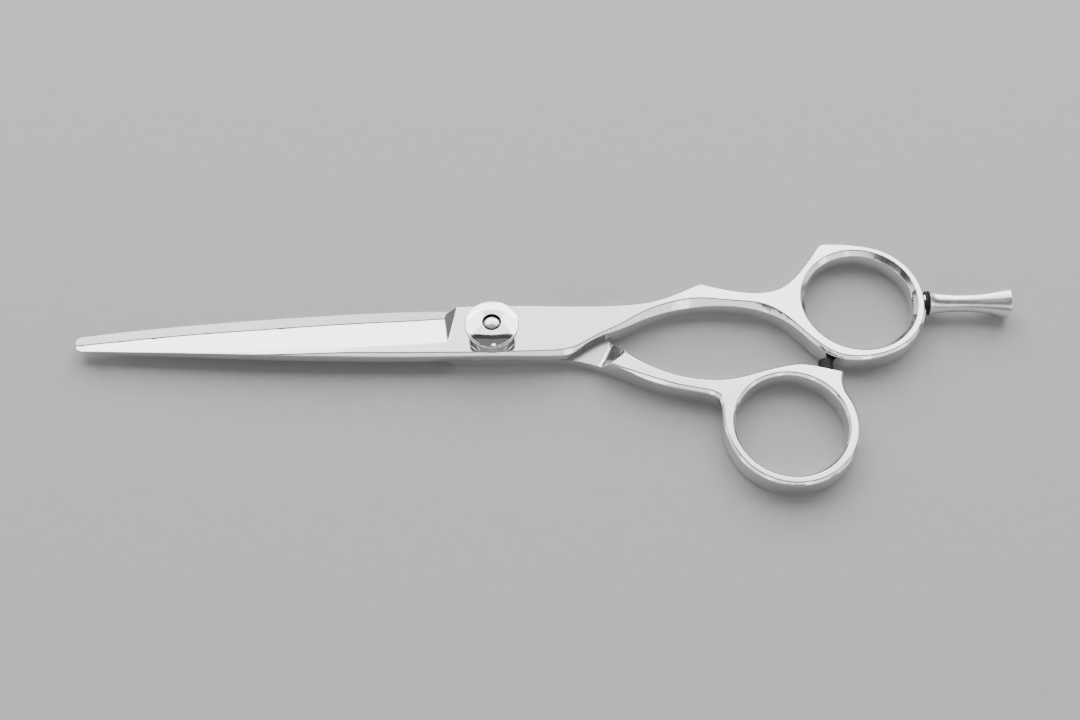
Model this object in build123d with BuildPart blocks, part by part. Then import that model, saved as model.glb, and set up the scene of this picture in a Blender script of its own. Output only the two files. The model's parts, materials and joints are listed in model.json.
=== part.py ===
from build123d import *
from math import asin, cos, hypot, radians, sin
import os

# Hair cutting shears, closed and lying flat.
# +X runs from the pivot to the handles, +Z is up, and the origin is the middle of the pivot
# post's flat head, in the plane that the shears lie on. All sizes are in millimetres.

# ---------------------------------------------------------------- driving dimensions
thickness = 4.65          # both halves together, and each handle
blade_gap = 0.05          # air between the two inner faces
slip = 0.01               # air between faces that slide on each other
seat_gap = 0.02           # air round a piece in its seat
hole_spare = 0.1          # how much deeper a blind hole is than what it holds
inner_z_thumb = (thickness - blade_gap) / 2
inner_z_finger = (thickness + blade_gap) / 2

tip_x = -74.42            # the points of the blades
finger_ring_centre = (66.0, 6.5)
finger_ring_outer_r = 12.0
finger_ring_flat_r = 10.65
finger_ring_bevel = 0.86      # bevel of the hole, and how much narrower its middle is
thumb_ring_centre = (51.8, -18.7)
thumb_ring_rim_centre = (51.95, -18.65)
thumb_ring_outer_r = 11.65
thumb_ring_flat_r = 10.2
thumb_ring_bevel = 0.50
ring_barrel = 0.12            # how far a ring's inner wall bulges between its bevels

# blade grinding
edge_bevel_width = 0.34   # the narrow second bevel along a cutting edge
edge_bevel_height = 0.18
ridge_z_heel = thickness  # height of the ridge at the heel and at the tip
ridge_z_tip = 3.15
taper_start_x = -26.0
heel_wall_top = ((-7.62, -1.6), (-6.3, 5.3))   # where the ground face starts, on the top face
heel_wall_run = 1.9       # how far the wall leans towards the tip
heel_wall_drop = 2.05
heel_fillet = 0.55
heel_corner_fillet = 0.7

# where the halves change from half to full thickness
finger_step_x = 21.2
thumb_ramp_foot = ((20.95, -2.6), (19.5, -6.0))
thumb_ramp_top = ((23.5, -4.74), (20.97, -6.9))
thumb_ramp_fillet = 1.4      # where the ramp rises out of the inner face

# pivot, from the bottom up
head_r = 3.5
head_height = 0.90
head_chamfer = 0.15
head_washer_r = 3.4
head_recess_r = 3.62
head_recess_depth = 1.10
shoulder_r = 2.00
bush_bore_r = 2.05
bush_outer_r = 2.39
bush_seat_r = 2.40
key_r = 1.80              # round part of the two-flat key section
key_half_width = 1.40     # its flats
key_clearance = 0.05
key_top_z = 5.42
thread_r = 1.22
nub_rim_z = 7.13
nub_top_z = 7.45

race_inner_r = 2.75
race_outer_r = 4.45
race_depth = 0.37
ball_r = 0.36
ball_circle_r = 3.60
ball_count = 10
cage_inner_r = 2.85
cage_outer_r = 4.35
cage_height = 0.25
cage_pocket_r = 0.42

plate_r = 3.75
plate_height = 0.40
dimple_count = 12
dimple_circle_r = 3.25
dimple_r = 0.30
dimple_depth = 0.06
spring_inner_r = 1.95
spring_outer_r = 2.75
spring_thickness = 0.12
washer_height = 0.14
pressure_washer_r = 2.85
nut_r = 3.90
nut_bottom_z = 5.50
nut_top_z = 6.70
nut_bore_r = 1.27
click_ball_r = 0.34
click_ball_lift = 0.07    # a click ball rides just above the plate
click_pocket_r = 0.38

dial_r = 4.88
dial_bottom_z = 4.78
dial_shoulder_z = 6.44    # top of the vertical skirt
dial_edge_r = 4.52        # where the shoulder meets the dome
dial_edge_z = 6.82
dial_dome_middle = (3.15, 7.25)   # a point half way up the dome, as (radius, height)
dial_hole_r = 1.68
dial_hole_chamfer = 0.06
dial_hole_z = 7.45
dial_wall_gap = 0.02
dial_rim_chamfer = 0.1

# finger rest and its rubber washer
rest_y = 6.85
rest_z = 2.80
rest_seat_x = 78.03       # end of the boss on the ring
rest_washer_width = 0.66
rest_washer_r = 2.12
rest_start_x = rest_seat_x + rest_washer_width
rest_rim_x = 93.50        # where the brim meets the domed end
rest_rim_r = 2.45
rest_end_x = 93.85
rest_stud_r = 1.20
rest_stud_chamfer = 0.2
rest_stud_x = 75.85
rest_hole_r = 1.26
boss_r = 1.75

# bumper between the rings
bumper_x = 59.1
bumper_r = 1.32
bumper_fillet = 0.35
bumper_seat_y = -7.75
bumper_tip_y = -4.95
bumper_stem_r = 0.70
bumper_stem_y = -9.6
bumper_hole_r = 0.72
bumper_z = thickness / 2


# ---------------------------------------------------------------- outlines
def dome_middle(rim_r, rim_height, top_height):
    """The middle point of a dome's profile, as (radius, height), for a dome about an axis."""
    rise = top_height - rim_height
    dome_r = (rim_r ** 2 + rise ** 2) / (2 * rise)
    angle = asin(rim_r / dome_r) / 2
    return dome_r * sin(angle), top_height - dome_r * (1 - cos(angle))


def ring_knots(centre, radius, start, end, count, bevel):
    """Knots along a round stretch, by angle in degrees."""
    step = (end - start) / (count - 1)
    angles = [radians(start + step * i) for i in range(count)]
    return [(centre[0] + radius * cos(a), centre[1] + radius * sin(a), bevel) for a in angles]


def inset(previous, knot, following):
    """A knot moved inwards by its bevel, square to the outline. Outlines run anticlockwise."""
    normals = []
    for a, b in ((previous, knot), (knot, following)):
        length = hypot(b[0] - a[0], b[1] - a[1])
        normals.append((-(b[1] - a[1]) / length, (b[0] - a[0]) / length))
    (ax, ay), (bx, by) = normals
    scale = knot[2] / (1 + ax * bx + ay * by)
    return knot[0] + (ax + bx) * scale, knot[1] + (ay + by) * scale


def forging_wires(stretches, height):
    """Four closed wires of a bevelled blank: bottom, lower side, upper side and top.

    Each stretch is a list of (x, y, bevel) knots and becomes one smooth curve. Stretches meet
    at the corners of the outline. The bevel is as deep as it is wide."""
    loop = [knot for stretch in stretches for knot in stretch[:-1]]
    flat_points = []
    for i, knot in enumerate(loop):
        flat_points.append(inset(loop[i - 1], knot, loop[(i + 1) % len(loop)]))
    wires = []
    for level in ("bottom", "lower", "upper", "top"):
        points = []
        for (x, y, bevel), (flat_x, flat_y) in zip(loop, flat_points):
            if level == "bottom":
                points.append((flat_x, flat_y, 0))
            elif level == "lower":
                points.append((x, y, bevel))
            elif level == "upper":
                points.append((x, y, height - bevel))
            else:
                points.append((flat_x, flat_y, height))
        points.append(points[0])
        edges = []
        start = 0
        for stretch in stretches:
            end = start + len(stretch) - 1
            run = points[start:end + 1]
            edges.append(Edge.make_line(*run) if len(run) == 2 else Edge.make_spline(run))
            start = end
        wires.append(Wire(edges))
    return wires


# Blade spine of the finger half, from the tip to the body.
spine = [
    (-72.3, -3.50, 0.12), (-63.0, -3.92, 0.22), (-52.4, -4.40, 0.38),
    (-30.0, -5.12, 0.55), (-9.0, -5.17, 0.60),
]
# The tip end, from the cutting edge's side round to the spine.
tip = [
    (tip_x + 0.15, -0.9, 0.10), (tip_x + 0.15, -2.0, 0.10), (tip_x + 0.42, -2.75, 0.10),
    (tip_x + 1.05, -3.30, 0.10), spine[0],
]
# The blank's edge side runs outside the finished cutting edge, which the grinding makes.
finger_blank_edge = [(-5.9, 5.22, 0.45), (-30.0, 4.0, 0.2), (-52.4, 2.2, 0.2), tip[0]]

finger_outline = [
    tip,
    spine + [
        (3.2, -4.98, 0.62), (9.0, -4.93, 0.78), (12.2, -4.82, 0.85), (13.8, -4.52, 0.88),
        (15.1, -3.84, 0.65), (16.4, -2.86, 0.45), (17.8, -1.90, 0.40), (19.3, -1.02, 0.42),
        (22.8, 0.50, 0.68), (26.4, 2.42, 1.00), (30.0, 3.98, 1.19),
        (33.7, 5.02, 1.28), (37.3, 5.55, 1.25), (41.0, 5.58, 0.95), (44.5, 5.30, 0.90),
        (48.0, 4.63, 1.08), (51.5, 2.93, 0.85), (54.8, -0.02, 0.56), (58.0, -3.43, 0.62),
        (61.3, -5.42, 0.62), (64.9, -5.85, 0.58),
    ] + ring_knots(finger_ring_centre, finger_ring_outer_r, -75, 85, 9, 0.50)
      + [(64.0, 18.74, 0.45), (60.6, 18.72, 0.40)],
    [(60.6, 18.72, 0.40), (59.85, 18.5, 0.40), (59.3, 17.95, 0.40)],
    [
        (59.3, 17.95, 0.40), (57.6, 15.35, 0.42), (55.8, 12.90, 0.45), (53.8, 10.62, 0.45),
        (51.6, 9.05, 0.45), (48.2, 8.25, 0.45), (44.6, 8.42, 0.45), (41.0, 9.15, 0.45),
        (38.2, 9.95, 0.45),
    ],
    [(38.2, 9.95, 0.45), (37.4, 10.05, 0.45), (36.6, 9.75, 0.45)],
    [
        (36.6, 9.75, 0.45), (33.8, 8.33, 0.45), (30.1, 6.78, 0.45), (26.4, 5.88, 0.45),
        (22.0, 5.48, 0.45), (12.1, 5.35, 0.45), (-5.9, 5.22, 0.45),
    ],
    finger_blank_edge,
]

thumb_spine = [(-9.0, 5.30, 0.60), (-30.0, 4.34, 0.55), (-52.4, 2.46, 0.38), (-63.0, 1.30, 0.22),
               (-72.7, -0.03, 0.12)]
thumb_tip = [
    thumb_spine[-1], (tip_x + 0.75, -0.21, 0.10), (tip_x + 0.22, -0.52, 0.10),
    (tip_x + 0.02, -1.0, 0.10), (tip_x + 0.28, -1.9, 0.10), (tip_x + 1.0, -3.0, 0.10),
]
thumb_outline = [
    [
        (thumb_tip[-1][0], thumb_tip[-1][1], 0.12), (-52.4, -4.4, 0.2), (-30.0, -4.75, 0.2),
        (-9.0, -5.0, 0.4), (3.2, -4.95, 0.40), (12.0, -4.82, 0.40), (14.4, -4.98, 0.40),
        (17.4, -5.72, 0.38), (20.0, -6.58, 0.25), (22.5, -7.62, 0.22), (24.3, -8.46, 0.40),
        (26.2, -9.38, 0.58), (29.5, -10.66, 0.64),
        (32.9, -11.60, 0.58), (36.3, -12.28, 0.60), (38.3, -12.80, 0.60), (39.5, -13.45, 0.55),
    ],
    [(39.5, -13.45, 0.55), (39.85, -14.6, 0.50), (40.0, -16.5, 0.50), (40.05, -18.7, 0.52)]
    + ring_knots(thumb_ring_rim_centre, thumb_ring_outer_r, 195, 385, 11, 0.50)
    + [(61.75, -12.2, 0.45), (61.45, -10.3, 0.42), (61.65, -8.7, 0.40)],
    [(61.65, -8.7, 0.40), (61.55, -8.25, 0.40), (61.1, -8.0, 0.40)],
    [
        (61.1, -8.0, 0.40), (57.6, -7.12, 0.42), (54.1, -6.62, 0.42), (50.6, -7.15, 0.45),
        (47.0, -8.15, 0.45), (43.4, -9.25, 0.45), (39.9, -9.72, 0.45), (36.4, -9.55, 0.45),
        (33.0, -8.90, 0.45), (29.5, -7.60, 0.45), (26.1, -5.80, 0.45), (23.4, -3.75, 0.45),
        (20.9, -1.0, 0.40), (18.5, 1.25, 0.40), (16.5, 3.0, 0.45), (14.8, 4.4, 0.50),
        (13.3, 5.15, 0.50),
    ],
    [(13.3, 5.15, 0.50), (3.2, 5.25, 0.55)] + thumb_spine,
    thumb_tip,
]

# Where each blade is ground, as (x, y of the cutting edge, y of the ridge).
finger_grind_stations = [
    (0.0, 4.30, -2.15), (-9.2, 3.80, -2.60), (-20.0, 3.10, -3.28), (-30.1, 2.46, -3.70),
    (-41.5, 1.54, -4.00), (-52.4, 0.62, -4.08), (-63.0, -0.50, -3.98), (-70.5, -1.40, -3.95),
    (-78.0, -2.40, -4.25),
]
thumb_grind_stations = [
    (0.0, -3.83, 2.62), (-9.2, -3.67, 2.73), (-20.0, -3.43, 2.95), (-30.1, -3.28, 2.88),
    (-41.5, -3.00, 2.55), (-52.4, -2.80, 1.95), (-63.0, -2.65, 1.10), (-70.5, -2.62, 0.40),
    (-78.0, -2.70, -0.40),
]


def ridge_height(x):
    """Top of the blade along its ridge: level at the heel, lower towards the tip."""
    part = min(0.0, x - taper_start_x) / (tip_x - taper_start_x)
    return ridge_z_heel + (ridge_z_tip - ridge_z_heel) * part


def grind_section(x, edge_y, ridge_y, thumb_side):
    """The material ground off the outer face at one station, as points in the y-z plane.

    The thumb blade's section is the finger blade's turned half round: y and z both change sign."""
    side = -1 if thumb_side else 1
    edge_y, ridge_y = side * edge_y, side * ridge_y
    beyond_edge = 4.0
    beyond_ridge = 1.2
    ridge_z = ridge_height(x)
    bevel_y, bevel_z = edge_y - edge_bevel_width, inner_z_finger + edge_bevel_height
    slope = (ridge_z - bevel_z) / (bevel_y - ridge_y)
    outline = [
        (edge_y + beyond_edge,
         inner_z_finger - beyond_edge * edge_bevel_height / edge_bevel_width),
        (bevel_y, bevel_z),
        (ridge_y - beyond_ridge, ridge_z + slope * beyond_ridge),
        (ridge_y - beyond_ridge, 2 * thickness),
        (edge_y + beyond_edge, 2 * thickness),
    ]
    if thumb_side:
        outline = [(-y, thickness - z) for y, z in outline]
    return outline


def grind_block(thumb_side):
    """The block of air over a blade's ground face, ended by the leaning wall at the heel."""
    stations = thumb_grind_stations if thumb_side else finger_grind_stations
    with BuildPart() as block:
        for x, edge_y, ridge_y in stations:
            with BuildSketch(Plane(origin=(x, 0, 0), x_dir=(0, 1, 0), z_dir=(1, 0, 0))):
                Polygon(*grind_section(x, edge_y, ridge_y, thumb_side), align=None)
        loft()
        side = -1 if thumb_side else 1
        (ax, ay), (bx, by) = heel_wall_top
        top_z = 0 if thumb_side else thickness
        along = Vector(bx - ax, side * (by - ay), 0).normalized()
        down = Vector(-heel_wall_run, 0, -side * heel_wall_drop).normalized()
        wall = Plane(origin=(ax, side * ay, top_z), x_dir=along, z_dir=along.cross(down))
        split(bisect_by=wall, keep=Keep.TOP)
        corner = block.edges().filter_by(lambda e: abs(wall.to_local_coords(e @ 0.5).Z) < 1e-3)
        corner = corner.filter_by(lambda e: abs((e @ 0.5).Z - thickness / 2) < 1.6)
        fillet(corner, heel_fillet)
    return block.part


def ring_bore(centre, flat_r, bevel):
    """The hole of a ring: bevelled at both faces, and narrowest at half height."""
    wall_r = flat_r - bevel
    with BuildPart() as bore:
        with BuildSketch(Plane(origin=(centre[0], centre[1], 0), x_dir=(1, 0, 0), z_dir=(0, -1, 0))):
            with BuildLine():
                wall = ThreePointArc((wall_r, bevel), (wall_r - ring_barrel, thickness / 2),
                                     (wall_r, thickness - bevel))
                Polyline(wall @ 1, (flat_r + 1, thickness + 1), (0, thickness + 1), (0, -1),
                         (flat_r + 1, -1), wall @ 0)
            make_face()
        revolve(axis=Axis((centre[0], centre[1], 0), (0, 0, 1)))
    return bore.part


finger_blank = Solid.make_loft(forging_wires(finger_outline, thickness), ruled=True)
thumb_blank = Solid.make_loft(forging_wires(thumb_outline, thickness), ruled=True)
finger_grind = grind_block(thumb_side=False)
thumb_grind = grind_block(thumb_side=True)


# ---------------------------------------------------------------- the two blades
def above_inner_face(low_z, high_z, foot_line, top_line, foot_fillet=0.0):
    """A block on the tip side of a step. Its end wall leans from foot_line to top_line."""
    reach = 30.0
    with BuildPart() as block:
        for z, (a, b) in ((low_z, foot_line), (high_z, top_line)):
            with BuildSketch(Plane.XY.offset(z)):
                dx, dy = b[0] - a[0], b[1] - a[1]
                Polygon((a[0] - dx * 3, a[1] - dy * 3), (b[0] + dx * 3, b[1] + dy * 3),
                        (tip_x - 5, -reach), (tip_x - 5, reach), align=None)
        loft(ruled=True)
        if foot_fillet > 0:
            fillet(block.faces().sort_by(Axis.Z)[0].edges().sort_by(Axis.X)[-1], foot_fillet)
    return block.part


def lean(foot_line, top_line, part):
    """The line that lies the given part of the way from one line to another, and beyond."""
    return [
        tuple(f + (t - f) * part for f, t in zip(foot, top))
        for foot, top in zip(foot_line, top_line)
    ]


step_line = [(finger_step_x, 15.0), (finger_step_x, -15.0)]
finger_step = above_inner_face(-1.0, inner_z_finger, step_line, step_line)
ramp_reach = 1.2
thumb_step = above_inner_face(
    inner_z_thumb, inner_z_thumb + (thickness - inner_z_thumb) * ramp_reach,
    thumb_ramp_foot, lean(thumb_ramp_foot, thumb_ramp_top, ramp_reach), thumb_ramp_fillet,
)


def tip_taper(thumb_side):
    """A block of air over the outer face that thins the blade towards its tip."""
    side = -1 if thumb_side else 1
    outer_z = 0 if thumb_side else thickness
    drop = ridge_z_heel - ridge_z_tip
    far_x = 2 * tip_x - taper_start_x
    with BuildPart() as block:
        with BuildSketch(Plane(origin=(0, 20, 0), x_dir=(1, 0, 0), z_dir=(0, -1, 0))):
            Polygon((taper_start_x, outer_z), (taper_start_x, outer_z + side * thickness),
                    (far_x, outer_z + side * thickness), (far_x, outer_z - side * 2 * drop), align=None)
        extrude(amount=40)
    return block.part


finger_bore = ring_bore(finger_ring_centre, finger_ring_flat_r, finger_ring_bevel)
finger_taper = tip_taper(thumb_side=False)
thumb_taper = tip_taper(thumb_side=True)
thumb_bore = ring_bore(thumb_ring_centre, thumb_ring_flat_r, thumb_ring_bevel)


def key_profile(clearance):
    """The pivot's key section: a circle with two flats, made in the current sketch."""
    Circle(key_r + clearance)
    Rectangle(2 * (key_r + 1), 2 * (key_half_width + clearance), mode=Mode.INTERSECT)


rest_boss_plane = Plane(origin=(rest_seat_x, rest_y, rest_z), x_dir=(0, 1, 0), z_dir=(-1, 0, 0))
boss_length = 1.6
with BuildPart() as finger_blade:
    add(finger_blank)
    add(finger_step, mode=Mode.SUBTRACT)
    add(finger_taper, mode=Mode.SUBTRACT)
    add(finger_grind, mode=Mode.SUBTRACT)
    with BuildSketch(rest_boss_plane):
        Circle(boss_r)
    extrude(amount=boss_length)
    add(finger_bore, mode=Mode.SUBTRACT)
    with BuildSketch(rest_boss_plane):
        Circle(rest_hole_r)
    extrude(amount=rest_seat_x - rest_stud_x + hole_spare, mode=Mode.SUBTRACT)
    with BuildSketch(Plane.XY.offset(inner_z_finger)):
        Circle(race_outer_r)
        Circle(race_inner_r, mode=Mode.SUBTRACT)
    extrude(amount=race_depth, mode=Mode.SUBTRACT)
    with BuildSketch(Plane.XY):
        key_profile(key_clearance)
    extrude(amount=2 * thickness, mode=Mode.SUBTRACT)
    heel_corner = finger_blade.edges().filter_by(
        lambda e: -8.47 < (e @ 0.5).X < -6.45 and (e @ 0.5).Y > 4.8 and (e @ 0.5).Z > inner_z_finger)
    fillet(heel_corner, heel_corner_fillet)
finger_blade.part.label = "finger_blade"

bumper_plane = Plane(origin=(bumper_x, bumper_tip_y, bumper_z), x_dir=(1, 0, 0), z_dir=(0, -1, 0))
bumper_seat_depth = bumper_tip_y - bumper_seat_y
with BuildPart() as thumb_blade:
    add(thumb_blank)
    add(thumb_step, mode=Mode.SUBTRACT)
    add(thumb_taper, mode=Mode.SUBTRACT)
    add(thumb_grind, mode=Mode.SUBTRACT)
    add(thumb_bore, mode=Mode.SUBTRACT)
    with BuildSketch(Plane.XY.offset(inner_z_thumb)):
        Circle(race_outer_r)
        Circle(race_inner_r, mode=Mode.SUBTRACT)
    extrude(amount=-race_depth, mode=Mode.SUBTRACT)
    with BuildSketch(Plane.XY):
        Circle(head_recess_r)
    extrude(amount=head_recess_depth, mode=Mode.SUBTRACT)
    with BuildSketch(Plane.XY):
        Circle(bush_seat_r)
    extrude(amount=thickness, mode=Mode.SUBTRACT)
    with BuildSketch(bumper_plane):
        Circle(bumper_r)
    extrude(amount=bumper_seat_depth, mode=Mode.SUBTRACT)
    with BuildSketch(bumper_plane):
        Circle(bumper_hole_r)
    extrude(amount=bumper_tip_y - bumper_stem_y + hole_spare, mode=Mode.SUBTRACT)
thumb_blade.part.label = "thumb_blade"


# ---------------------------------------------------------------- pivot
shoulder_top_z = inner_z_finger - slip
with BuildPart() as pivot_post:
    Cylinder(head_r, head_height, align=(Align.CENTER, Align.CENTER, Align.MIN))
    chamfer(pivot_post.edges().sort_by(Axis.Z)[0], head_chamfer)
    with BuildSketch(Plane.XY.offset(head_height)):
        Circle(shoulder_r)
    extrude(amount=shoulder_top_z - head_height)
    with BuildSketch(Plane.XY.offset(shoulder_top_z)):
        key_profile(0)
    extrude(amount=key_top_z - shoulder_top_z)
    with BuildSketch(Plane.XZ):
        with BuildLine():
            rim = Polyline((0, key_top_z), (thread_r, key_top_z), (thread_r, nub_rim_z))
            middle = dome_middle(thread_r, nub_rim_z, nub_top_z)
            dome = ThreePointArc(rim @ 1, middle, (0, nub_top_z))
            Line(dome @ 1, rim @ 0)
        make_face()
    revolve(axis=Axis.Z)
pivot_post.part.label = "pivot_post"


def ring(inner_r, outer_r, low_z, high_z):
    """A plain flat ring about the pivot's axis."""
    with BuildPart() as piece:
        with BuildSketch(Plane.XY.offset(low_z)):
            Circle(outer_r)
            Circle(inner_r, mode=Mode.SUBTRACT)
        extrude(amount=high_z - low_z)
    return piece.part


def keyed_ring(outer_r, low_z, high_z):
    """A flat ring that fits over the key section, so it can't turn."""
    with BuildPart() as piece:
        with BuildSketch(Plane.XY.offset(low_z)):
            Circle(outer_r)
            with BuildSketch(Plane.XY.offset(low_z), mode=Mode.SUBTRACT):
                key_profile(key_clearance)
        extrude(amount=high_z - low_z)
    return piece.part


with BuildPart() as head_washer:
    add(ring(bush_bore_r, head_washer_r, head_height + seat_gap, head_recess_depth - slip))
head_washer.part.label = "head_washer"

with BuildPart() as pivot_bush:
    add(ring(bush_bore_r, bush_outer_r, head_recess_depth, inner_z_thumb))
pivot_bush.part.label = "pivot_bush"

cage_low_z = thickness / 2 - cage_height / 2
with BuildPart() as ball_cage:
    add(ring(cage_inner_r, cage_outer_r, cage_low_z, cage_low_z + cage_height))
    with BuildSketch(Plane.XY.offset(cage_low_z)):
        with PolarLocations(ball_circle_r, ball_count):
            Circle(cage_pocket_r)
    extrude(amount=cage_height, mode=Mode.SUBTRACT)
ball_cage.part.label = "ball_cage"

with BuildPart(Plane.XY.offset(thickness / 2)) as bearing_balls:
    with PolarLocations(ball_circle_r, ball_count):
        Sphere(ball_r)
bearing_balls.part.label = "bearing_balls"

plate_top_z = thickness + plate_height
with BuildPart() as click_plate:
    add(keyed_ring(plate_r, thickness, plate_top_z))
    with BuildSketch(Plane.XY.offset(plate_top_z)):
        with PolarLocations(dimple_circle_r, dimple_count):
            Circle(dimple_r)
    extrude(amount=-dimple_depth, mode=Mode.SUBTRACT)
click_plate.part.label = "click_plate"

pressure_top_z = nut_bottom_z - slip
pressure_low_z = pressure_top_z - washer_height
with BuildPart() as pressure_washer:
    add(keyed_ring(pressure_washer_r, pressure_low_z, pressure_top_z))
pressure_washer.part.label = "pressure_washer"

# The disc spring is a shallow cone between the click plate and the pressure washer.
with BuildPart() as disc_spring:
    with BuildSketch(Plane.XZ):
        with BuildLine():
            Polyline(
                (spring_outer_r, plate_top_z), (spring_outer_r, plate_top_z + spring_thickness),
                (spring_inner_r, pressure_low_z), (spring_inner_r, pressure_low_z - spring_thickness),
                close=True,
            )
        make_face()
    revolve(axis=Axis.Z)
disc_spring.part.label = "disc_spring"

click_ball_z = plate_top_z + click_ball_lift + click_ball_r
with BuildPart(Plane.XY.offset(click_ball_z)) as click_balls:
    with PolarLocations(dimple_circle_r, 2):
        Sphere(click_ball_r)
click_balls.part.label = "click_balls"

with BuildPart() as dial_nut:
    add(ring(nut_bore_r, nut_r, nut_bottom_z, nut_top_z))
    with BuildSketch(Plane.XY.offset(nut_bottom_z)):
        with PolarLocations(dimple_circle_r, 2):
            Circle(click_pocket_r)
    extrude(amount=click_ball_z + click_pocket_r - nut_bottom_z, mode=Mode.SUBTRACT)
dial_nut.part.label = "dial_nut"

cap_cavity_r = nut_r + dial_wall_gap
cap_cavity_z = nut_top_z + dial_wall_gap
with BuildPart() as dial_cap:
    with BuildSketch(Plane.XZ):
        with BuildLine():
            skirt = Polyline((cap_cavity_r, dial_bottom_z), (dial_r - dial_rim_chamfer, dial_bottom_z),
                             (dial_r, dial_bottom_z + dial_rim_chamfer), (dial_r, dial_shoulder_z))
            shoulder = TangentArc(skirt @ 1, (dial_edge_r, dial_edge_z), tangent=(0, 1))
            dome = ThreePointArc(shoulder @ 1, dial_dome_middle,
                                 (dial_hole_r + dial_hole_chamfer, dial_hole_z))
            Polyline(dome @ 1, (dial_hole_r, dial_hole_z - dial_hole_chamfer),
                     (dial_hole_r, cap_cavity_z),
                     (cap_cavity_r, cap_cavity_z), skirt @ 0)
        make_face()
    revolve(axis=Axis.Z)
dial_cap.part.label = "dial_cap"


# ---------------------------------------------------------------- finger rest and bumper
rest_axis = Axis((rest_start_x, rest_y, rest_z), (1, 0, 0))
rest_plane = Plane(origin=(0, rest_y, rest_z), x_dir=(1, 0, 0), z_dir=(0, -1, 0))
with BuildPart() as finger_rest:
    with BuildSketch(rest_plane):
        with BuildLine():
            base = Polyline((rest_stud_x, 0), (rest_stud_x, rest_stud_r - rest_stud_chamfer),
                            (rest_stud_x + rest_stud_chamfer, rest_stud_r),
                            (rest_start_x, rest_stud_r),
                            (rest_start_x, 2.25), (rest_start_x + 0.15, 2.38))
            waist = Spline(base @ 1, (79.6, 2.10), (80.8, 1.86), (82.8, 1.68), (85.4, 1.62),
                           (88.0, 1.80), (90.4, 2.20), (92.7, 2.72))
            brim = ThreePointArc(waist @ 1, (93.2, 2.74), (rest_rim_x, rest_rim_r))
            middle_r, middle_x = dome_middle(rest_rim_r, rest_rim_x, rest_end_x)
            ThreePointArc(brim @ 1, (middle_x, middle_r), (rest_end_x, 0))
            Line((rest_end_x, 0), base @ 0)
        make_face()
    revolve(axis=rest_axis)
finger_rest.part.label = "finger_rest"

washer_crown = 0.12
with BuildPart() as rest_washer:
    with BuildSketch(rest_plane):
        with BuildLine():
            left, right = rest_seat_x, rest_start_x
            middle = (left + right) / 2
            Polyline((right, rest_washer_r - washer_crown), (right, rest_hole_r),
                     (left, rest_hole_r), (left, rest_washer_r - washer_crown))
            ThreePointArc((left, rest_washer_r - washer_crown), ((left + middle) / 2, rest_washer_r),
                          (middle, rest_washer_r - washer_crown))
            ThreePointArc((middle, rest_washer_r - washer_crown), ((middle + right) / 2, rest_washer_r),
                          (right, rest_washer_r - washer_crown))
        make_face()
    revolve(axis=rest_axis)
rest_washer.part.label = "rest_washer"

with BuildPart() as bumper:
    with BuildSketch(bumper_plane):
        Circle(bumper_r - seat_gap)
    extrude(amount=bumper_seat_depth - seat_gap)
    fillet(bumper.edges().sort_by(Axis.Y)[-1], bumper_fillet)
    with BuildSketch(bumper_plane.offset(bumper_seat_depth - seat_gap)):
        Circle(bumper_stem_r)
    extrude(amount=bumper_seat_y - bumper_stem_y)
bumper.part.label = "bumper"


# ---------------------------------------------------------------- export
os.makedirs("parts", exist_ok=True)
pieces = [
    finger_blade, pivot_post, click_plate, disc_spring, finger_rest, rest_washer,
    thumb_blade, pivot_bush, head_washer, bumper, ball_cage, bearing_balls,
    pressure_washer, dial_cap, dial_nut, click_balls,
]
for piece in pieces:
    export_step(piece.part, f"parts/{piece.part.label}.step")
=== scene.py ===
import json
import math

import bmesh
import bpy
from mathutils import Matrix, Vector


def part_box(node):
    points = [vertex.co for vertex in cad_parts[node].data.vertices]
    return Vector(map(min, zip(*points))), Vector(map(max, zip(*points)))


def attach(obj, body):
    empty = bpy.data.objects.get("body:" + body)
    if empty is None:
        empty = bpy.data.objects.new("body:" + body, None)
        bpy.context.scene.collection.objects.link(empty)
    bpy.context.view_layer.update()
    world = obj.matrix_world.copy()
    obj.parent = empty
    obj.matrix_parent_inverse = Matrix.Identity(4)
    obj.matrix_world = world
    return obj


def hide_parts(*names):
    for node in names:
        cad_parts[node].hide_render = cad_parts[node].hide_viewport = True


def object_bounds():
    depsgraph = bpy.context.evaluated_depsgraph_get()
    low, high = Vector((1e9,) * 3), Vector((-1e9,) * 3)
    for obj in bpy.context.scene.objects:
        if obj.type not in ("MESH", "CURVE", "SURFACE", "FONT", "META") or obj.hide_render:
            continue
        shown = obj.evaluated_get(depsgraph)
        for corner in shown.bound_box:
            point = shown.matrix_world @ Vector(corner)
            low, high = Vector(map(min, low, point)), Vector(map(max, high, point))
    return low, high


MM = 0.001

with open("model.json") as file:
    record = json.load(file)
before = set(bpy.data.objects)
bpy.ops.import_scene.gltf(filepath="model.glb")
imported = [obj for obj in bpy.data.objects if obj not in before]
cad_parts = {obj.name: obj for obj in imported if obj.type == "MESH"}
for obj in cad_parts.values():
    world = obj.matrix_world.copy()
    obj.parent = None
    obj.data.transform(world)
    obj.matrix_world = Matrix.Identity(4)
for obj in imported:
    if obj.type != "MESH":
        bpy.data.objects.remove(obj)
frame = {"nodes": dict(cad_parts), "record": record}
cad_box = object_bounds()
nodes = frame["nodes"]

# ---------------------------------------------------------------- camera and light
CAMERA_DISTANCE = 263.4 * MM
CAMERA_ELEVATION = math.radians(60.0)
CAMERA_LENS_MM = 50.0
AIM_FROM_CENTRE = Vector((-1.21, -0.38, 0.92)) * MM

low, high = Vector(cad_box[0]), Vector(cad_box[1])
centre = (low + high) / 2
aim = centre + AIM_FROM_CENTRE


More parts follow.
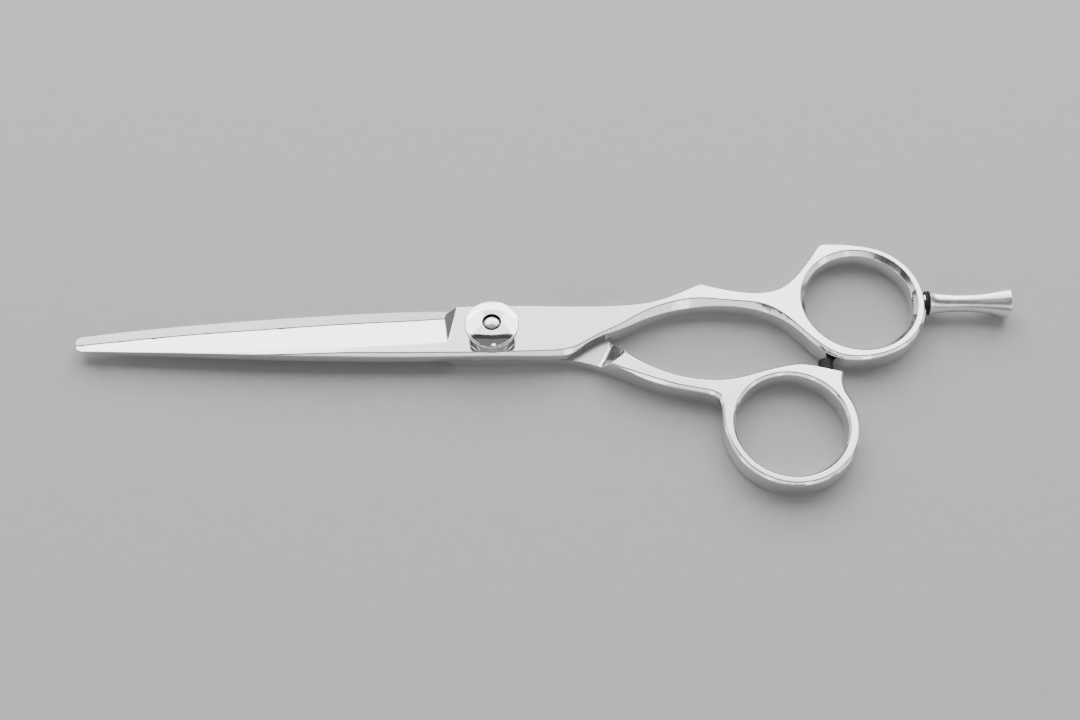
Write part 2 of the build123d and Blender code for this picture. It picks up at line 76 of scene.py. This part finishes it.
def add_camera():
    data = bpy.data.cameras.new("camera")
    data.lens = CAMERA_LENS_MM
    data.sensor_width = 36.0
    data.clip_start = 0.01
    camera = bpy.data.objects.new("camera", data)
    bpy.context.scene.collection.objects.link(camera)
    back = Vector((0, -math.cos(CAMERA_ELEVATION), math.sin(CAMERA_ELEVATION)))
    camera.location = aim + back * CAMERA_DISTANCE
    camera.rotation_euler = (math.pi / 2 - CAMERA_ELEVATION, 0, 0)
    bpy.context.scene.camera = camera


def softbox(name, azimuth, elevation, distance, width, height, radiance):
    """An area light that faces the aim point. Azimuth 0 is on the camera's side, 180 beyond the shears."""
    a, e = math.radians(azimuth), math.radians(elevation)
    direction = Vector((math.sin(a) * math.cos(e), -math.cos(a) * math.cos(e), math.sin(e)))
    data = bpy.data.lights.new(name, "AREA")
    data.shape = "RECTANGLE"
    data.size = width
    data.size_y = height
    data.energy = 4 * width * height * radiance
    light = bpy.data.objects.new(name, data)
    bpy.context.scene.collection.objects.link(light)
    light.location = aim + direction * distance
    light.rotation_euler = direction.to_track_quat("Z", "Y").to_euler()


def add_lights():
    # The flats mirror the light from 60 degrees beyond the shears, and the ground face the light
    # from 27 degrees. The bevels mirror the row of strips that runs round the camera's side, lower
    # and lower towards the sides. Rounded edges mirror the dim panel overhead.
    softbox("back_softbox", 180, 58, 0.9, 1.7, 0.62, 2.2)
    softbox("low_back_softbox", 180, 28, 1.0, 1.7, 0.40, 4.2)
    softbox("front_strip", 0, 31, 1.0, 1.0, 0.24, 1.3)
    for side in (-1, 1):
        softbox(f"near_strip_{side}", side * 46, 24, 1.0, 0.85, 0.34, 1.3)
        softbox(f"side_strip_{side}", side * 84, 15, 1.0, 0.85, 0.40, 1.0)
        softbox(f"far_strip_{side}", side * 122, 9, 1.0, 0.80, 0.30, 0.8)
        softbox(f"side_softbox_{side}", side * 140, 45, 1.1, 0.7, 0.6, 1.3)
    softbox("overhead_panel", 0, 72, 1.0, 1.3, 0.75, 0.12)
    softbox("window", 8, 79, 0.9, 0.09, 0.063, 3.0)
    world = bpy.data.worlds.new("studio")
    world.use_nodes = True
    background = world.node_tree.nodes["Background"]
    background.inputs["Color"].default_value = (0.52, 0.48, 0.44, 1)
    background.inputs["Strength"].default_value = 0.14
    bpy.context.scene.world = world


# ---------------------------------------------------------------- material helpers
class Surface:
    """A Principled material and short ways to add procedural nodes to it."""

    def __init__(self, name, color, metallic, roughness):
        self.material = bpy.data.materials.new(name)
        self.material.use_nodes = True
        self.tree = self.material.node_tree
        self.shader = self.tree.nodes["Principled BSDF"]
        self.shader.inputs["Base Color"].default_value = (*color, 1)
        self.shader.inputs["Metallic"].default_value = metallic
        self.shader.inputs["Roughness"].default_value = roughness
        self.coords = self.tree.nodes.new("ShaderNodeTexCoord")

    def node(self, kind, **settings):
        made = self.tree.nodes.new(kind)
        for key, value in settings.items():
            setattr(made, key, value)
        return made

    def plug(self, value, socket):
        if isinstance(value, bpy.types.NodeSocket):
            self.tree.links.new(value, socket)
        else:
            socket.default_value = value

    def noise(self, scale, stretch=(1, 1, 1), detail=3.0):
        """Noise in the piece's own coordinates, in features per metre, stretched per axis."""
        mapping = self.node("ShaderNodeMapping")
        mapping.inputs["Scale"].default_value = stretch
        self.plug(self.coords.outputs["Object"], mapping.inputs["Vector"])
        noise = self.node("ShaderNodeTexNoise")
        noise.inputs["Scale"].default_value = scale
        noise.inputs["Detail"].default_value = detail
        self.plug(mapping.outputs["Vector"], noise.inputs["Vector"])
        return noise.outputs["Fac"]

    def math(self, operation, a, b=0.0):
        made = self.node("ShaderNodeMath", operation=operation)
        self.plug(a, made.inputs[0])
        self.plug(b, made.inputs[1])
        return made.outputs[0]

    def spread(self, value, to_low, to_high, from_low=0.3, from_high=0.7):
        made = self.node("ShaderNodeMapRange")
        for name, number in (("From Min", from_low), ("From Max", from_high),
                             ("To Min", to_low), ("To Max", to_high)):
            self.plug(number, made.inputs[name])
        self.plug(value, made.inputs["Value"])
        return made.outputs["Result"]

    def mix(self, factor, a, b):
        """A blend of two colours."""
        made = self.node("ShaderNodeMix", data_type="RGBA")
        self.plug(factor, made.inputs["Factor"])
        self.plug(a if isinstance(a, bpy.types.NodeSocket) else (*a, 1), made.inputs[6])
        self.plug(b if isinstance(b, bpy.types.NodeSocket) else (*b, 1), made.inputs[7])
        return made.outputs[2]

    def axis(self, socket, name):
        split = self.node("ShaderNodeSeparateXYZ")
        self.plug(self.coords.outputs[socket], split.inputs[0])
        return split.outputs[name]

    def between(self, value, from_value, to_value):
        above = self.math("GREATER_THAN", value, from_value)
        below = self.math("LESS_THAN", value, to_value)
        return self.math("MULTIPLY", above, below)

    def bump(self, height, strength, distance):
        made = self.node("ShaderNodeBump")
        made.inputs["Strength"].default_value = strength
        made.inputs["Distance"].default_value = distance
        self.plug(height, made.inputs["Height"])
        self.plug(made.outputs["Normal"], self.shader.inputs["Normal"])

    def color(self, value):
        self.plug(value, self.shader.inputs["Base Color"])

    def roughness(self, value):
        self.plug(value, self.shader.inputs["Roughness"])


# ---------------------------------------------------------------- materials
heel_x = -6.5 * MM     # the blades are ground from here to the tips
inner_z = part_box("pivot_bush")[1][2]   # the thumb half's inner face
gap = 0.05 * MM        # air between the two inner faces
HONED_HEIGHT = 0.23 * MM   # the honed bevel's height above the inner face, and a little more
HONED_NORMAL_Y = (0.38, 0.60)   # how far sideways the honed bevel faces
FACE_TOLERANCE = 0.01 * MM


def blade_steel(name, inner_face_z, edge_side):
    """Polished forged steel. Its inner face is ground lengthwise. Its honed edge has a painted darker,
    bluish reflection, and the wall at its heel a painted dark shade. edge_side is 1 where the honed edge
    faces +Y, -1 where it faces -Y."""
    steel = Surface(name, (0.80, 0.80, 0.81), 1.0, 0.16)
    x, z = steel.axis("Object", "X"), steel.axis("Object", "Z")
    normal_y, normal_z = steel.axis("Normal", "Y"), steel.axis("Normal", "Z")
    inner = steel.between(z, inner_face_z - FACE_TOLERANCE, inner_face_z + FACE_TOLERANCE)
    flat = steel.math("GREATER_THAN", steel.math("ABSOLUTE", normal_z), 0.98)
    inner = steel.math("MULTIPLY", inner, flat)
    honed = steel.between(z, inner_face_z - HONED_HEIGHT, inner_face_z + HONED_HEIGHT)
    honed = steel.math("MULTIPLY", honed, steel.between(x, -1.0, heel_x))
    sideways = steel.math("MULTIPLY", normal_y, edge_side)
    honed = steel.math("MULTIPLY", honed, steel.between(sideways, *HONED_NORMAL_Y))

    streaks = steel.noise(1.0, (90, 5200, 5200), 4.0)
    cloud = steel.noise(1.0, (120, 240, 240), 3.0)
    polished = steel.mix(steel.spread(cloud, 0.0, 1.0), (0.79, 0.79, 0.80), (0.83, 0.83, 0.83))
    ground = steel.mix(steel.spread(streaks, 0.0, 1.0), (0.46, 0.45, 0.435), (0.59, 0.58, 0.56))
    color = steel.mix(inner, polished, ground)
    # The honed bevel gets a painted darker, bluish reflection in its colour.
    color = steel.mix(honed, color, (0.50, 0.56, 0.68))
    # Painted shade: the wall at the heel, where the grind ends, is coloured dark grey.
    wall = steel.math("LESS_THAN", steel.axis("Normal", "X"), -0.5)
    wall = steel.math("MULTIPLY", wall, steel.between(x, heel_x - 3 * MM, heel_x + MM))
    steel.color(steel.mix(wall, color, (0.24, 0.24, 0.245)))
    smooth = steel.spread(cloud, 0.10, 0.14)
    rough = steel.spread(streaks, 0.24, 0.36)
    blend = steel.node("ShaderNodeMix", data_type="FLOAT")
    steel.plug(inner, blend.inputs["Factor"])
    steel.plug(smooth, blend.inputs[2])
    steel.plug(rough, blend.inputs[3])
    steel.roughness(steel.math("ADD", blend.outputs[0], steel.math("MULTIPLY", honed, 0.05)))
    depth = steel.spread(inner, 0.12, 1.0, 0.0, 1.0)
    steel.bump(steel.math("MULTIPLY", streaks, depth), 0.25, 0.00001)
    return steel.material


def chrome(name, smoothest, roughest, dark_r=0.0):
    """Mirror-polished steel with a faint haze. Upright walls within dark_r of the pivot get a painted dark
    brown shade and more roughness, because the photo shows a dark ring there and a pale floor would fill
    it with light."""
    mirror = Surface(name, (0.88, 0.88, 0.89), 1.0, 0.05)
    haze = mirror.noise(1.0, (900, 900, 900), 4.0)
    clean = mirror.mix(mirror.spread(haze, 0.0, 1.0), (0.86, 0.86, 0.865), (0.90, 0.90, 0.90))
    smooth = mirror.spread(haze, smoothest, roughest)
    x, y = mirror.axis("Object", "X"), mirror.axis("Object", "Y")
    square = mirror.math("ADD", mirror.math("MULTIPLY", x, x), mirror.math("MULTIPLY", y, y))
    near = mirror.math("LESS_THAN", square, dark_r * dark_r)
    upright = mirror.math("LESS_THAN", mirror.math("ABSOLUTE", mirror.axis("Normal", "Z")), 0.5)
    dark = mirror.math("MULTIPLY", near, upright)
    # Painted shade: upright walls near the pivot are coloured dark brown.
    mirror.color(mirror.mix(dark, clean, (0.12, 0.10, 0.085)))
    mirror.roughness(mirror.math("ADD", smooth, mirror.math("MULTIPLY", dark, 0.35)))
    return mirror.material


def turned_steel(name, darker, lighter):
    """Plain ground steel of the small parts inside the pivot, with fine turning rings."""
    steel = Surface(name, lighter, 1.0, 0.30)
    rings = steel.node("ShaderNodeTexWave", wave_type="RINGS", rings_direction="Z")
    rings.inputs["Scale"].default_value = 1600
    rings.inputs["Distortion"].default_value = 0.6
    steel.plug(steel.coords.outputs["Object"], rings.inputs["Vector"])
    grain = steel.noise(1.0, (2500, 2500, 2500))
    steel.color(steel.mix(rings.outputs["Fac"], darker, lighter))
    steel.roughness(steel.spread(grain, 0.24, 0.38))
    steel.bump(rings.outputs["Fac"], 0.3, 0.000005)
    return steel.material


def rubber(name, color, scale):
    """Moulded rubber: matt, with a fine grain and a slight bloom."""
    soft = Surface(name, color, 0.0, 0.55)
    soft.shader.inputs["Specular IOR Level"].default_value = 0.2
    grain = soft.noise(1.0, (scale, scale, scale), 5.0)
    paler = tuple(c * 1.4 + 0.002 for c in color)
    soft.color(soft.mix(soft.spread(grain, 0.0, 1.0), color, paler))
    soft.roughness(soft.spread(grain, 0.45, 0.65))
    soft.bump(grain, 0.35, 0.00002)
    return soft.material


def brass(name):
    metal = Surface(name, (0.72, 0.55, 0.28), 1.0, 0.28)
    grain = metal.noise(1.0, (1500, 1500, 6000))
    metal.color(metal.mix(metal.spread(grain, 0.0, 1.0), (0.66, 0.49, 0.24), (0.76, 0.59, 0.32)))
    metal.roughness(metal.spread(grain, 0.22, 0.36))
    metal.bump(grain, 0.2, 0.000005)
    return metal.material


def nylon(name):
    plastic = Surface(name, (0.82, 0.81, 0.78), 0.0, 0.42)
    grain = plastic.noise(1.0, (3000, 3000, 3000))
    plastic.color(plastic.mix(plastic.spread(grain, 0.0, 1.0), (0.78, 0.77, 0.73), (0.85, 0.84, 0.81)))
    plastic.roughness(plastic.spread(grain, 0.36, 0.5))
    plastic.bump(grain, 0.2, 0.00001)
    return plastic.material


def add_floor():
    size = 3.0
    bpy.ops.mesh.primitive_plane_add(size=size, location=(centre.x, centre.y, low.z))
    floor = bpy.context.object
    floor.name = "floor"
    paper = Surface("floor", (0.42, 0.415, 0.41), 0.0, 0.7)
    tooth = paper.noise(1.0, (400, 400, 400))
    paper.color(paper.mix(paper.spread(tooth, 0.0, 1.0), (0.41, 0.405, 0.40), (0.43, 0.425, 0.42)))
    floor.data.materials.append(paper.material)


# ---------------------------------------------------------------- rounded edges
ROUNDING = 0.13 * MM
SMOOTH_ANGLE = math.radians(15.5)   # less than the crease along the ground face, about 17 degrees
SHARP_ANGLE = math.radians(20.0)    # an edge folded more than this is rounded
FLAT_ANGLE = math.radians(0.1)      # faces folded less than this are joined
WELD = 0.001 * MM
SLICE = 1.5 * MM                    # long faces are cut across this often, so their shading is even


def area_normals(mesh, smooth_angle, keep_sharp):
    """Loop normals that lean towards the larger faces, so flats stay flat beside rounded edges.

    Faces that keep_sharp picks out aren't smoothed into the others."""
    bm = bmesh.new()
    bm.from_mesh(mesh)
    limit = math.cos(smooth_angle)
    areas = [face.calc_area() for face in bm.faces]
    kept = [keep_sharp(face.calc_center_median()) for face in bm.faces]
    normals = []
    for face in bm.faces:
        for loop in face.loops:
            total = Vector()
            for other in loop.vert.link_faces:
                alike = kept[other.index] == kept[face.index]
                if alike and other.normal.dot(face.normal) > limit:
                    total += other.normal * areas[other.index]
            normals.append(total.normalized())
    bm.free()
    mesh.normals_split_custom_set(normals)


def polished(node, name, body, width, keep_sharp):
    """A copy of a CAD piece with its sharp edges rounded, as polishing leaves them. It rides on
    body and stands for the CAD piece.

    keep_sharp(middle) says which edges stay sharp, such as the cutting edges."""
    bm = bmesh.new()
    bm.from_mesh(node.data)
    bmesh.ops.remove_doubles(bm, verts=bm.verts, dist=WELD)
    bmesh.ops.dissolve_limit(bm, angle_limit=FLAT_ANGLE, verts=bm.verts, edges=bm.edges)
    sharp = []
    for edge in bm.edges:
        middle = (edge.verts[0].co + edge.verts[1].co) / 2
        if edge.calc_face_angle(0.0) > SHARP_ANGLE and not keep_sharp(middle):
            sharp.append(edge)
    bmesh.ops.bevel(bm, geom=sharp, offset=width, offset_type="OFFSET", segments=4, profile=0.5,
                    affect="EDGES", clamp_overlap=False, miter_outer="ARC")
    start = min(v.co.x for v in bm.verts)
    end = max(v.co.x for v in bm.verts)
    for i in range(1, int((end - start) / SLICE)):
        everything = bm.verts[:] + bm.edges[:] + bm.faces[:]
        bmesh.ops.bisect_plane(bm, geom=everything, dist=WELD,
                               plane_co=(start + i * SLICE, 0, 0), plane_no=(1, 0, 0))
    for face in bm.faces:
        face.smooth = True
    mesh = bpy.data.meshes.new(name)
    bm.to_mesh(mesh)
    bm.free()
    area_normals(mesh, SMOOTH_ANGLE, keep_sharp)
    piece = bpy.data.objects.new(name, mesh)
    bpy.context.scene.collection.objects.link(piece)
    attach(piece, body)
    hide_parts(node.name)
    return piece


add_camera()
add_lights()
add_floor()

# These pieces have a finish of their own. The others take the one of their slot in the record.
own_finish = {
    "finger_blade": blade_steel("finger_steel", inner_z + gap, 1.0),
    "thumb_blade": blade_steel("thumb_steel", inner_z, -1.0),
    "finger_rest": chrome("satin_chrome", 0.26, 0.32),
    # The last argument is the radius of the painted dark shade on upright walls round the pivot.
    "pivot_post": chrome("post_steel", 0.26, 0.34, 1.8 * MM),
    # The nut deep in the dial's hole is coloured near black: painted shade for the dark recess round the
    # nub.
    "dial_nut": turned_steel("nut_painted_shade", (0.10, 0.09, 0.08), (0.14, 0.125, 0.11)),
}
by_slot = {
    # The last argument is the radius of the painted dark shade on upright walls round the pivot.
    "polished_chrome": chrome("polished_chrome", 0.05, 0.09, 1.8 * MM),
    "inner_steel": turned_steel("inner_steel", (0.56, 0.56, 0.57), (0.66, 0.66, 0.67)),
    "black_rubber": rubber("black_rubber", (0.016, 0.016, 0.017), 9000),
    "grey_rubber": rubber("grey_rubber", (0.012, 0.0115, 0.011), 9000),
    "brass_bush": brass("brass_bush"),
    "white_nylon": nylon("white_nylon"),
}
for part in frame["record"]["subparts"]:
    node = nodes[part["node"]]
    material = own_finish.get(part["node"]) or by_slot[part["material_slot"]]
    node.data.materials.clear()
    node.data.materials.append(material)


def near_cutting_edge(middle):
    """Edges of the honed bevel and of the inner face, forward of the heel."""
    return middle.x < heel_x and abs(middle.z - (inner_z + gap / 2)) < HONED_HEIGHT


for blade, body in (("finger_blade", "finger_half"), ("thumb_blade", "thumb_half")):
    piece = polished(nodes[blade], f"{blade}_polished", body, ROUNDING, near_cutting_edge)
    piece.data.materials.append(own_finish[blade])
